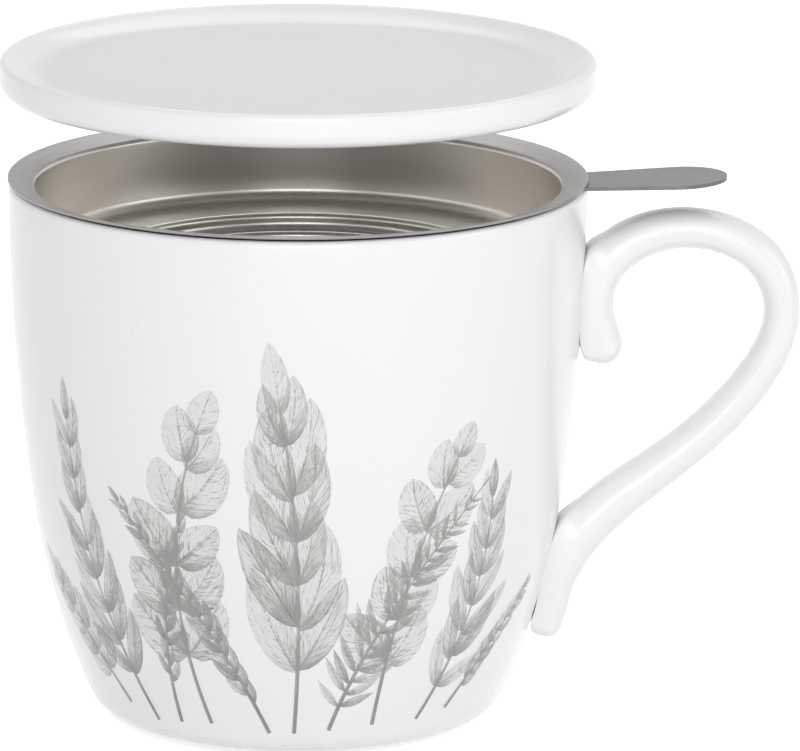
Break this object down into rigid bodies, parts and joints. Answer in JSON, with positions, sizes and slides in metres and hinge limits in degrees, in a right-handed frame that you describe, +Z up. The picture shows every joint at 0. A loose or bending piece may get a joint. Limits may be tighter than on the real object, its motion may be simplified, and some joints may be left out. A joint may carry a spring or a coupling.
{
  "type": "lidded tea mug with infuser",
  "caption": "Porcelain tea mug with a curled loop handle, a steel tea infuser with a flange and lifting tab, and a loose dished lid.",
  "frame": {"origin": "middle of the foot ring's flat under the mug, on the mug's axis", "axes": "+Z up along the mug's axis, +X towards the handle and the infuser's tab"},
  "size_m": [0.127, 0.0942, 0.1063],
  "materials": {
    "porcelain": "glossy",
    "steel": "satin"
  },
  "bodies": {
    "mug": {"mug_body": "porcelain", "mug_base": "porcelain", "mug_handle": "porcelain"},
    "infuser": {"infuser_pan": "steel", "sieve_sleeve": "steel", "sieve_floor": "steel", "infuser_tab": "steel"},
    "lid": {"lid": "porcelain"}
  },
  "joints": [
    {"name": "infuser_lift", "type": "slide", "parent": "mug", "child": "infuser", "axis": [0, 0, 1], "range_m": [0, 0.075]},
    {"name": "lid_lift", "type": "slide", "parent": "infuser", "child": "lid", "axis": [0, 0, 1], "range_m": [-0.0137, 0.05]}
  ]
}
